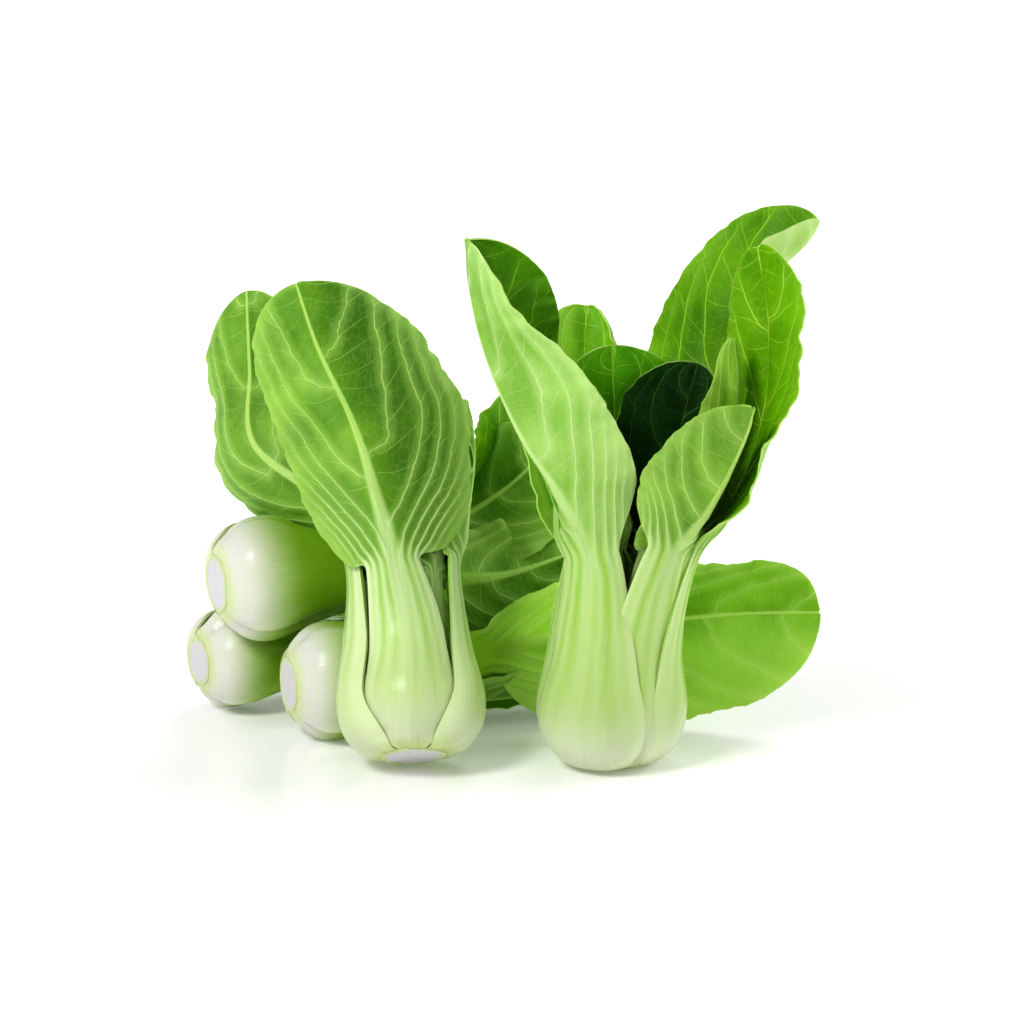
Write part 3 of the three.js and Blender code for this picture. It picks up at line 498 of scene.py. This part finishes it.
def leafSkin(name, toneName, face):
    look = skinLook
    tone = tones[toneName]
    under = face == "under"
    material, tree, shader = newMaterial(name)
    leafPlace = addNode(tree, "Attribute", attribute_name="leafPlace").outputs["Vector"]
    leafVein = addNode(tree, "Attribute", attribute_name="leafVein").outputs["Vector"]
    leafOwn = addNode(tree, "Attribute", attribute_name="leafOwn").outputs["Vector"]
    across, along, edge = addNode(tree, "SeparateXYZ", {0: leafPlace}).outputs
    count, spacing, blade = addNode(tree, "SeparateXYZ", {0: leafVein}).outputs
    seed, upStalk, white = addNode(tree, "SeparateXYZ", {0: leafOwn}).outputs
    aside = addNode(tree, "Math", {0: across}, operation="ABSOLUTE")

    ownLayer = addNode(tree, "Math", {0: seed, 1: 40}, operation="MULTIPLY")
    where = addNode(tree, "CombineXYZ", {0: across, 1: along, 2: ownLayer})
    cloud = addNode(tree, "TexNoise", {"Vector": where, "Scale": 1 / look["cloud"], "Detail": 3})
    bend = addNode(tree, "MapRange", {0: cloud, 1: 0.3, 2: 0.7, 3: -look["veinBend"], 4: look["veinBend"]})
    bentCount = addNode(tree, "Math", {0: count, 1: bend}, operation="ADD")

    # main veins: 2.2 mm wide at the neck, 0.6 mm at the tip
    wholeCount = addNode(tree, "Math", {0: bentCount}, operation="ROUND")
    toVein = addNode(tree, "Math", {0: wholeCount, 1: bentCount}, operation="SUBTRACT")
    toVein = addNode(tree, "Math", {0: toVein}, operation="ABSOLUTE")
    offVein = addNode(tree, "Math", {0: toVein, 1: spacing}, operation="MULTIPLY")
    taper = addNode(tree, "Math", {0: blade, 1: look["veinTaper"]}, operation="MULTIPLY")
    taper = addNode(tree, "Math", {0: taper}, operation="EXPONENT")
    veinHalf = addNode(tree, "Math", {0: taper, 1: 0.8 if under else 0.5, 2: 0.3 if under else 0.42},
                       operation="MULTIPLY_ADD")
    mainVein = addNode(tree, "MapRange", {0: offVein, 1: veinHalf, 2: 0, 3: 0, 4: 1},
                       interpolation_type="SMOOTHSTEP")
    inMargin = addNode(tree, "MapRange", {0: edge, 1: 0.97, 2: 0.66}, interpolation_type="SMOOTHSTEP")
    mainVein = addNode(tree, "Math", {0: mainVein, 1: inMargin}, operation="MULTIPLY")

    # branches, each strip between two main veins with its own start
    strip = addNode(tree, "Math", {0: bentCount}, operation="FLOOR")
    inStrip = addNode(tree, "Math", {0: bentCount, 1: strip}, operation="SUBTRACT")
    stripSeed = addNode(tree, "Math", {0: strip, 1: seed}, operation="ADD")
    stripOwn = addNode(tree, "TexWhiteNoise", {"W": stripSeed}, noise_dimensions="1D")
    stripStart = addNode(tree, "Math", {0: stripOwn, 1: 5}, operation="MULTIPLY")
    fromVein = addNode(tree, "Math", {0: inStrip, 1: spacing}, operation="MULTIPLY")
    climb = addNode(tree, "Math", {0: fromVein, 1: -1.2, 2: along}, operation="MULTIPLY_ADD")
    climb = addNode(tree, "Math", {0: cloud, 1: 14, 2: climb}, operation="MULTIPLY_ADD")
    climb = addNode(tree, "Math", {0: climb, 1: 1 / look["branchApart"], 2: stripStart}, operation="MULTIPLY_ADD")
    wholeClimb = addNode(tree, "Math", {0: climb}, operation="ROUND")
    offBranch = addNode(tree, "Math", {0: climb, 1: wholeClimb}, operation="SUBTRACT")
    offBranch = addNode(tree, "Math", {0: offBranch}, operation="ABSOLUTE")
    branchWide = addNode(tree, "MapRange", {0: inStrip, 1: 0, 2: 0.9, 3: 0.05, 4: 0.012})
    branch = addNode(tree, "MapRange", {0: offBranch, 1: branchWide, 2: 0, 3: 0, 4: 1},
                     interpolation_type="SMOOTHSTEP")
    onBlade = addNode(tree, "MapRange", {0: blade, 1: 0.08, 2: 0.25}, interpolation_type="SMOOTHSTEP")
    branch = addNode(tree, "Math", {0: branch, 1: onBlade}, operation="MULTIPLY")

    # the net of small veins
    leant = addNode(tree, "Math", {0: aside, 1: -0.7, 2: along}, operation="MULTIPLY_ADD")
    flatPlace = addNode(tree, "CombineXYZ", {0: across, 1: leant, 2: seed})
    wobble = addNode(tree, "TexNoise", {"Vector": flatPlace, "Scale": 1 / look["netCell"], "Detail": 1})
    wobble = addNode(tree, "VectorMath", {0: wobble.outputs["Color"], "Scale": look["netWobble"]},
                     operation="SCALE")
    netAt = addNode(tree, "VectorMath", {0: flatPlace, 1: wobble}, operation="ADD")
    cells = addNode(tree, "TexVoronoi", {"Vector": netAt, "Scale": 1 / look["netCell"]},
                    feature="DISTANCE_TO_EDGE")
    net = addNode(tree, "MapRange", {0: cells, 1: 0.08, 2: 0, 3: 0, 4: 1}, interpolation_type="SMOOTHSTEP")

    # midrib: 8 mm wide at the neck underneath, 0.8 mm at the tip
    ribTaper = addNode(tree, "Math", {0: blade, 1: look["ribTaper"]}, operation="MULTIPLY")
    ribTaper = addNode(tree, "Math", {0: ribTaper}, operation="EXPONENT")
    ribHalf = addNode(tree, "Math", {0: ribTaper, 1: 3.6 if under else 2.0, 2: 0.25}, operation="MULTIPLY_ADD")
    ribOuter = addNode(tree, "Math", {0: ribHalf, 1: 1.5}, operation="MULTIPLY")
    ribInner = addNode(tree, "Math", {0: ribHalf, 1: 0.6}, operation="MULTIPLY")
    rib = addNode(tree, "MapRange", {0: aside, 1: ribOuter, 2: ribInner, 3: 0, 4: 1},
                  interpolation_type="SMOOTHSTEP")

    # lamina: mottled, darker at its base, paler at the margin and along the veins
    light, dark, vein = (linear(shade) for shade in tone[face])
    mottle = addNode(tree, "MapRange", {0: cloud, 1: 0.32, 2: 0.66})
    green = addNode(tree, "MixRGB", {0: mottle, 1: light, 2: dark})
    base = addNode(tree, "MapRange", {0: blade, 1: 0.35, 2: 0.05, 3: 0, 4: 0.45})
    green = addNode(tree, "MixRGB", {0: base, 1: green, 2: dark})
    # painted shade darkens the right half of the leaf; where far is below 0, painted light lightens it
    if tone["far"]:
        paintedHalfShading = addNode(tree, "MapRange", {0: across, 1: -2, 2: 14, 3: 0, 4: abs(tone["far"])},
                          interpolation_type="SMOOTHSTEP")
        paintedHalfGreen = linear(look["paintedShadeGreen"] if tone["far"] > 0 else look["paintedLightGreen"])
        green = addNode(tree, "MixRGB", {0: paintedHalfShading, 1: green, 2: paintedHalfGreen})
    margin = addNode(tree, "MapRange", {0: edge, 1: 0.75, 2: 1, 3: 0, 4: 0.28 if under else 0.15})
    green = addNode(tree, "MixRGB", {0: margin, 1: green, 2: vein})
    nearVein = addNode(tree, "MapRange", {0: offVein, 1: 3.5, 2: 0, 3: 0, 4: 0.3 if under else 0.1})
    green = addNode(tree, "MixRGB", {0: nearVein, 1: green, 2: vein})
    paleNet = addNode(tree, "Math", {0: net, 1: 0.1}, operation="MULTIPLY")
    paleBranch = addNode(tree, "Math", {0: branch, 1: 0.45 if under else 0.65}, operation="MULTIPLY")
    smallVeins = addNode(tree, "Math", {0: paleNet, 1: paleBranch}, operation="MAXIMUM")
    green = addNode(tree, "MixRGB", {0: smallVeins, 1: green, 2: vein})
    bigVeins = addNode(tree, "Math", {0: mainVein, 1: rib}, operation="MAXIMUM")

    # stalk: pale ribs over greener furrows that also carry painted shade, paler to the foot, with painted rim
    # light at the margins
    stringAcross = addNode(tree, "Math", {0: across, 1: 1 / look["stringWide"]}, operation="MULTIPLY")
    stringAlong = addNode(tree, "Math", {0: along, 1: 1 / look["stringLong"]}, operation="MULTIPLY")
    stringAt = addNode(tree, "CombineXYZ", {0: stringAcross, 1: stringAlong, 2: seed})
    strings = addNode(tree, "TexNoise", {"Vector": stringAt, "Scale": 1, "Detail": 2})
    mixed = addNode(tree, "Math", {0: cloud, 1: strings}, operation="ADD")
    lower = addNode(tree, "Math", {0: upStalk, 1: -0.22}, operation="ADD")
    up = addNode(tree, "Math", {0: mixed, 1: 0.22, 2: lower}, operation="MULTIPLY_ADD")
    up = addNode(tree, "Math", {0: white, 1: -0.3, 2: up}, operation="MULTIPLY_ADD")
    stalkRamp = addNode(tree, "ValToRGB", {0: up})
    stops = stalkRamp.color_ramp.elements
    for stop, (position, shade) in zip(stops, (look["stalk"][0], look["stalk"][-1])):
        stop.position, stop.color = position, linear(shade)
    for position, shade in look["stalk"][1:-1]:
        stops.new(position).color = linear(shade)
    # furrows: greener grooves between the ribs, their own green plus painted shade, stronger towards the neck
    furrowGreenAndShade = addNode(tree, "Math", {0: toVein, 1: 2}, operation="MULTIPLY")
    deeper = addNode(tree, "MapRange", {0: upStalk, 1: 0.2, 2: 0.9, 3: 0, 4: 0.8})
    furrowGreenAndShade = addNode(tree, "Math", {0: furrowGreenAndShade, 1: deeper}, operation="MULTIPLY")
    offRib = addNode(tree, "MapRange", {0: aside, 1: 0.4, 2: 4}, interpolation_type="SMOOTHSTEP")
    furrowGreenAndShade = addNode(tree, "Math", {0: furrowGreenAndShade, 1: offRib}, operation="MULTIPLY")
    stalk = addNode(tree, "MixRGB", {0: furrowGreenAndShade, 1: stalkRamp, 2: linear(look["furrowGreenAndShade"])})
    # painted rim light: the stalk's margins are paled as if lit from behind
    paintedRimLight = addNode(tree, "MapRange", {0: edge, 1: 0.5, 2: 0.95, 3: 0, 4: 0.65},
                       interpolation_type="SMOOTHSTEP")
    stalk = addNode(tree, "MixRGB", {0: paintedRimLight, 1: stalk, 2: linear(look["stalkMargin"])})
    streak = addNode(tree, "MapRange", {0: strings, 1: 0.45, 2: 0.75, 3: 0, 4: 0.2})
    stalk = addNode(tree, "MixRGB", {0: streak, 1: stalk, 2: linear(look["streak"])})

    # a white bulb, olive where it narrows, as far as the head is white; on every head a green band round the cut
    whiten = addNode(tree, "MapRange", {0: upStalk, 1: 0.34, 2: 0.14, 3: 0, 4: 0.9})
    whiten = addNode(tree, "Math", {0: whiten, 1: white}, operation="MULTIPLY")
    stalk = addNode(tree, "MixRGB", {0: whiten, 1: stalk, 2: linear(look["bulbWhite"])})
    olive = addNode(tree, "MapRange", {0: upStalk, 1: 0.16, 2: 0.42, 3: 0, 4: 0.95},
                    interpolation_type="SMOOTHSTEP")
    olive = addNode(tree, "Math", {0: olive, 1: white}, operation="MULTIPLY")
    stalk = addNode(tree, "MixRGB", {0: olive, 1: stalk, 2: linear(look["bulbOlive"])})
    nearCut = addNode(tree, "Math", {0: cloud, 1: 0.06, 2: upStalk}, operation="MULTIPLY_ADD")
    footBand = addNode(tree, "MapRange", {0: nearCut, 1: 0.12, 2: 0.05, 3: 0, 4: 0.7},
                       interpolation_type="SMOOTHSTEP")
    stalk = addNode(tree, "MixRGB", {0: footBand, 1: stalk, 2: linear(look["foot"])})

    # the lamina starts as wedges between the ribs
    wedge = addNode(tree, "Math", {0: toVein, 1: 14, 2: along}, operation="MULTIPLY_ADD")
    isStalk = addNode(tree, "MapRange", {0: wedge, 1: 14, 2: 0, 3: 0, 4: 1}, interpolation_type="SMOOTHSTEP")
    upBlade = addNode(tree, "MapRange", {0: blade, 1: 0, 2: 0.5})
    veinFlesh = addNode(tree, "MixRGB", {0: upBlade, 1: stalk, 2: vein})
    bigVeins = addNode(tree, "Math", {0: bigVeins, 1: 0.8}, operation="MULTIPLY")
    colour = addNode(tree, "MixRGB", {0: bigVeins, 1: green, 2: veinFlesh})
    colour = addNode(tree, "MixRGB", {0: isStalk, 1: colour, 2: stalk})
    tree.links.new(colour.outputs[0], shader.inputs["Base Color"])

    # veins stand proud underneath and lie in furrows above; the stalk is stringy and softly uneven
    lowBranch = addNode(tree, "Math", {0: branch, 1: 0.6}, operation="MULTIPLY")
    lowNet = addNode(tree, "Math", {0: net, 1: 0.35}, operation="MULTIPLY")
    relief = addNode(tree, "Math", {0: mainVein, 1: lowBranch}, operation="MAXIMUM")
    relief = addNode(tree, "Math", {0: relief, 1: lowNet}, operation="MAXIMUM")
    stalkRelief = addNode(tree, "Math", {0: cloud, 1: 4, 2: strings}, operation="MULTIPLY_ADD")
    height = addNode(tree, "MixRGB", {0: isStalk, 1: relief, 2: stalkRelief})
    bump = addNode(tree, "Bump", {"Strength": 0.6, "Distance": look["relief"], "Height": height},
                   invert=not under)
    tree.links.new(bump.outputs[0], shader.inputs["Normal"])
    rough = addNode(tree, "MapRange", {0: isStalk, 3: 0.5 if under else 0.4, 4: 0.24})
    tree.links.new(rough.outputs[0], shader.inputs["Roughness"])
    shader.inputs["Subsurface Weight"].default_value = 0.3
    shader.inputs["Subsurface Radius"].default_value = (1.0, 1.5, 0.3)
    shader.inputs["Subsurface Scale"].default_value = 0.0018
    shader.inputs["Specular IOR Level"].default_value = 0.3 if under else 0.12
    shader.inputs["IOR"].default_value = 1.4
    return material


# The blade's thin rim, where its layers end, pale as the stalk at its foot
def leafRim(name, shade):
    material, tree, shader = newMaterial(name)
    spot = addNode(tree, "TexCoord").outputs["Object"]
    grain = addNode(tree, "TexNoise", {"Vector": spot, "Scale": 400, "Detail": 2})
    green = addNode(tree, "MixRGB", {0: grain, 1: linear(shade), 2: linear("#a8cc66")})
    leafOwn = addNode(tree, "Attribute", attribute_name="leafOwn").outputs["Vector"]
    upStalk = addNode(tree, "SeparateXYZ", {0: leafOwn}).outputs["Y"]
    isGreen = addNode(tree, "MapRange", {0: upStalk, 1: 0.2, 2: 0.9})
    colour = addNode(tree, "MixRGB", {0: isGreen, 1: linear("#c2d098"), 2: green})
    tree.links.new(colour.outputs[0], shader.inputs["Base Color"])
    shader.inputs["Roughness"].default_value = 0.45
    shader.inputs["Subsurface Weight"].default_value = 0.3
    shader.inputs["Subsurface Scale"].default_value = 0.0015
    return material


skins = {}
for toneName, tone in tones.items():
    skins[toneName] = [
        leafSkin(toneName + "LeafUnderside", toneName, "under"),
        leafSkin(toneName + "LeafUpperSide", toneName, "upper"),
        leafRim(toneName + "LeafRim", tone["rim"]),
    ]

# Cut stem: pith and strings sliced across, gone dull and faintly lilac, with a greener ring of skin round it
stemLook = {
    "pithGrain": 1.1,  # grains to a millimetre
    "patches": 0.22,
    "skinFrom": 9.8,   # mm from the middle, where the ring of skin starts to show
    "skinAt": 11.4,    # and where it is all there is
    "relief": 0.0003,
}
stemCut, tree, shader = newMaterial("cutStemPith")
spot = addNode(tree, "Attribute", attribute_name="stemPlace").outputs["Vector"]
sideways = addNode(tree, "VectorMath", {0: spot, 1: (1, 1, 0)}, operation="MULTIPLY")
fromMiddle = addNode(tree, "VectorMath", {0: sideways}, operation="LENGTH").outputs["Value"]
pith = addNode(tree, "TexNoise", {"Vector": spot, "Scale": stemLook["pithGrain"], "Detail": 4})
patches = addNode(tree, "TexNoise", {"Vector": spot, "Scale": stemLook["patches"], "Detail": 2})
flesh = addNode(tree, "MixRGB", {0: patches, 1: linear("#c6c3c9"), 2: linear("#d2d0d3")})
paleGrain = addNode(tree, "Math", {0: pith, 1: 0.35}, operation="MULTIPLY")
flesh = addNode(tree, "MixRGB", {0: paleGrain, 1: flesh, 2: linear("#dcdad5")})
raggedMiddle = addNode(tree, "Math", {0: pith, 1: 1.6, 2: fromMiddle}, operation="MULTIPLY_ADD")
inSkin = addNode(tree, "MapRange", {0: raggedMiddle, 1: stemLook["skinFrom"], 2: stemLook["skinAt"]},
                 interpolation_type="SMOOTHSTEP")
skinTint = addNode(tree, "MixRGB", {0: patches, 1: linear("#ccd8a8"), 2: linear("#c0d08c")})
colour = addNode(tree, "MixRGB", {0: inSkin, 1: flesh, 2: skinTint})
tree.links.new(colour.outputs[0], shader.inputs["Base Color"])
bump = addNode(tree, "Bump", {"Strength": 0.5, "Distance": stemLook["relief"], "Height": pith})
tree.links.new(bump.outputs[0], shader.inputs["Normal"])
shader.inputs["Roughness"].default_value = 0.55
shader.inputs["Subsurface Weight"].default_value = 0.25
shader.inputs["Subsurface Scale"].default_value = 0.002
print("made the leaf skins and the cut stem's pith")


def deselect():
    bpy.ops.object.select_all(action="DESELECT")


# From a head's own millimetres to the frame's metres
def headMatrix(head):
    yaw = math.radians(head["yaw"])
    lean = Matrix.Rotation(math.radians(head["tilt"]), 4, Vector((-math.sin(yaw), math.cos(yaw), 0)))
    return Matrix.Translation((Vector(head["foot"]) - middle) * mm) @ lean @ Matrix.Scale(head["scale"] * mm, 4)


leafGrid = {
    "columns": 32,
    "fineColumns": 60,
    "every": 2,                      # of the rows, a plain leaf keeps one in two
    "tipRows": [0.5, 0.2, 0.05, 0],  # the last rows close in on the tip
    "smoothUnder": 50,               # degrees
}


# A leaf starts as a grid, is bent to its surface and gets its flesh from a Solidify modifier.
def makeLeaf(head, own, seed):
    leaf = {**usualLeaf, "white": head.get("white", 0), **own}
    tipStep = (len(leaf["line"]) + bellyStation) * stepsPerStation
    columns = leafGrid["fineColumns"] if leaf["fine"] else leafGrid["columns"]
    steps = [*range(0, tipStep, 1 if leaf["fine"] else leafGrid["every"])]
    steps += [tipStep - back for back in leafGrid["tipRows"]]
    spread = np.linspace(-1, 1, columns + 1)
    deselect()
    bpy.ops.mesh.primitive_grid_add(x_subdivisions=columns, y_subdivisions=len(steps) - 1, size=2)
    piece = bpy.context.object
    piece.name = f"{head['name']}_{leaf['name']}_leaf"
    mesh = piece.data
    flat = np.empty(len(mesh.vertices) * 3)
    mesh.vertices.foreach_get("co", flat)
    flat = flat.reshape(-1, 3)
    column = np.rint((flat[:, 0] + 1) / 2 * columns).astype(int)
    row = np.rint((flat[:, 1] + 1) / 2 * (len(steps) - 1)).astype(int)
    made = leafSurface(leaf, np.array(steps, float), spread, seed)
    place = np.array(headMatrix(head) @ Matrix.Rotation(math.radians(leaf["turn"]), 4, "Z"))
    points = made["points"][row, column] @ place[:3, :3].T + place[:3, 3]
    mesh.vertices.foreach_set("co", points.ravel())
    for name in ("leafPlace", "leafVein", "leafOwn"):
        values = mesh.attributes.new(name, "FLOAT_VECTOR", "POINT").data
        values.foreach_set("vector", made[name][row, column].ravel())
    thick = made["thick"][row, column]
    shares = piece.vertex_groups.new(name="flesh")
    for i, share in enumerate(thick / thick.max()):
        shares.add([i], share, "REPLACE")
    wall = piece.modifiers.new("wall", "SOLIDIFY")
    wall.thickness = thick.max() * head["scale"] * mm
    wall.offset = -1
    wall.vertex_group = "flesh"
    wall.material_offset = 1
    wall.material_offset_rim = 2
    for material in skins[leaf["tone"]]:
        mesh.materials.append(material)
    bpy.ops.object.modifier_apply(modifier="wall")
    bpy.ops.object.shade_smooth_by_angle(angle=math.radians(leafGrid["smoothUnder"]))
    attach(piece, "root")
    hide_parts(f"{head['name']}_{leaf['name']}")


seed = 0
for head in heads:
    for own in head["leaves"]:
        seed += 1
        makeLeaf(head, own, seed)
    print("made the", head["name"], "head")

# The stem end: from the growing point down to the cut, [radius, height], with a low rim round the cut face
stemEnd = {
    "sides": 72,
    "rings": [[2.6, 12.2], [5.2, 10.6], [7, 7.2], [9.1, 4.8], [11.2, 1.6], [11.7, 0.9], [11.7, 0.4], [11.3, 0.05],
              [10.7, 0.02], [10.2, 0.2], [9, 0.3], [7, 0.3], [4.6, 0.36], [2.3, 0.4]],
    "lumps": 0.9,                      # how far the rim's lumps stand out
    "lumpCounts": (3, 5, 8, 13, 21),   # their numbers to a round
    "rimAt": 11.4,
    "rimHalf": 0.9,
    "smoothUnder": 45,                 # degrees
}


def makeStemEnd(head, seed):
    deselect()
    rings = stemEnd["rings"]
    bpy.ops.mesh.primitive_circle_add(
        vertices=stemEnd["sides"], radius=rings[0][0], fill_type="NGON", location=(0, 0, rings[0][1]))
    piece = bpy.context.object
    piece.name = f"{head['name']}_stem_end"
    bpy.ops.object.transform_apply(location=True)
    bpy.ops.object.mode_set(mode="EDIT")
    bpy.ops.mesh.select_all(action="SELECT")
    bpy.ops.mesh.extrude_region_move(TRANSFORM_OT_translate={"value": (0, 0, 0)})
    for (wide, high), (nextWide, nextHigh) in zip(rings, rings[1:]):
        if wide != rings[0][0]:
            bpy.ops.mesh.extrude_region_move(TRANSFORM_OT_translate={"value": (0, 0, 0)})
        bpy.ops.transform.translate(value=(0, 0, nextHigh - high))
        bpy.ops.transform.resize(value=(nextWide / wide, nextWide / wide, 1), center_override=(0, 0, nextHigh))
    bpy.ops.mesh.select_all(action="SELECT")
    bpy.ops.mesh.normals_make_consistent(inside=False)
    bpy.ops.object.mode_set(mode="OBJECT")
    mesh = piece.data
    points = np.empty(len(mesh.vertices) * 3)
    mesh.vertices.foreach_get("co", points)
    points = points.reshape(-1, 3)
    draw = np.random.default_rng(seed)
    around = np.arctan2(points[:, 1], points[:, 0])
    lump = sum(draw.uniform(0.4, 1) * np.sin(count * around + draw.uniform(0, 6.3))
               for count in stemEnd["lumpCounts"]) / 3
    wide = np.hypot(points[:, 0], points[:, 1])
    nearCut = points[:, 2] < 3
    overCut = points[:, 2] > 0.1  # the cut's own plane stays flat
    atRim = np.exp(-((wide - stemEnd["rimAt"]) / stemEnd["rimHalf"]) ** 2) * nearCut
    points[:, :2] *= (1 + stemEnd["lumps"] * lump * atRim / 11)[:, None]  # as a share of about 11 mm
    points[:, 2] += stemEnd["lumps"] * 0.5 * (lump + 1) * atRim * overCut
    places = mesh.attributes.new("stemPlace", "FLOAT_VECTOR", "POINT").data
    places.foreach_set("vector", points.ravel())
    place = np.array(headMatrix(head))
    mesh.vertices.foreach_set("co", (points @ place[:3, :3].T + place[:3, 3]).ravel())
    mesh.update()
    mesh.materials.append(stemCut)
    bpy.ops.object.shade_smooth_by_angle(angle=math.radians(stemEnd["smoothUnder"]))
    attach(piece, "root")
    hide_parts(f"{head['name']}_crown")


for head in heads:
    seed += 1
    makeStemEnd(head, seed)
print("made the stem ends")

# Floor, light and camera
studio = {
    "floor": 40,               # metres, so that its edge is never seen
    "floorTint": "#fdfdfd",
    "floorRough": 0.22,
    "paintedGlowWithin": [0.1, 0.6],  # metres from the middle, where the floor's painted glow starts to grow and is full
    "paintedFloorGlow": [0.1, 0.62],       # the painted glow's strength there
    "skyBand": [0.12, 0.5],    # heights in the sky between which it darkens, 0 is level and 1 overhead
    "sky": [0.6, 0.3],         # its strength there
    "lamps": {                 # place in metres, size in metres, power in watts
        "key": ((-0.6, -0.7, 0.9), 0.35, 8),
        "right": ((0.95, 0.1, 0.6), 0.5, 4.2),
        "back": ((0.2, 0.9, 0.9), 0.6, 5),
    },
    "lampTarget": (0, 0, 0.08),
    "look": "Medium High Contrast",
    "target": (-33.5, 29.4, 83.4),  # what the camera looks at, in the heads' frame
    "elevation": 12,
    "distance": 900,
    "lens": 90.5,
}
deselect()
bpy.ops.mesh.primitive_plane_add(size=studio["floor"], location=(0, 0, 0))
floor = bpy.context.object
floor.name = "floor"

# White acrylic sheet: cast and polished, so it mirrors softly. It glows with painted light that grows away from
# the bunch, so the floor is darker under it.
acrylic, tree, shader = newMaterial("whiteAcrylicSheet")
away = addNode(tree, "VectorMath", {0: addNode(tree, "TexCoord").outputs["Object"]}, operation="LENGTH")
(near, far), (dim, bright) = studio["paintedGlowWithin"], studio["paintedFloorGlow"]
# painted light: the floor glows, least under the bunch
paintedFloorGlow = addNode(tree, "MapRange", {0: away.outputs["Value"], 1: near, 2: far, 3: dim, 4: bright},
               interpolation_type="SMOOTHSTEP")
tree.links.new(paintedFloorGlow.outputs[0], shader.inputs["Emission Strength"])
shader.inputs["Base Color"].default_value = linear(studio["floorTint"])
shader.inputs["Roughness"].default_value = studio["floorRough"]
shader.inputs["Emission Color"].default_value = (1, 1, 1, 1)
floor.data.materials.append(acrylic)

world = bpy.data.worlds.new("studio")
bpy.context.scene.world = world
world.use_nodes = True
tree = world.node_tree
skyUp = addNode(tree, "SeparateXYZ", {0: addNode(tree, "TexCoord").outputs["Generated"]}).outputs["Z"]
(low, high), (bright, dim) = studio["skyBand"], studio["sky"]
skyLight = addNode(tree, "MapRange", {0: skyUp, 1: low, 2: high, 3: bright, 4: dim},
                   interpolation_type="SMOOTHSTEP")
tree.nodes["Background"].inputs["Color"].default_value = (1, 1, 1, 1)
tree.links.new(skyLight.outputs[0], tree.nodes["Background"].inputs["Strength"])
for name, (place, size, power) in studio["lamps"].items():
    bpy.ops.object.light_add(type="AREA", location=place)
    lamp = bpy.context.object
    lamp.name = name
    lamp.data.size = size
    lamp.data.energy = power
    lamp.rotation_euler = (Vector(studio["lampTarget"]) - Vector(place)).to_track_quat("-Z", "Y").to_euler()

bpy.context.scene.view_settings.view_transform = "Standard"
bpy.context.scene.view_settings.look = studio["look"]
elevation = math.radians(studio["elevation"])
target = (Vector(studio["target"]) - middle) * mm
toCamera = Vector((0, -math.cos(elevation), math.sin(elevation)))
bpy.ops.object.camera_add(location=target + toCamera * studio["distance"] * mm,
                          rotation=(-toCamera).to_track_quat("-Z", "Y").to_euler())
camera = bpy.context.object
camera.data.lens = studio["lens"]
camera.data.sensor_width = 36
bpy.context.scene.camera = camera
print("set the floor, the lamps and the camera")
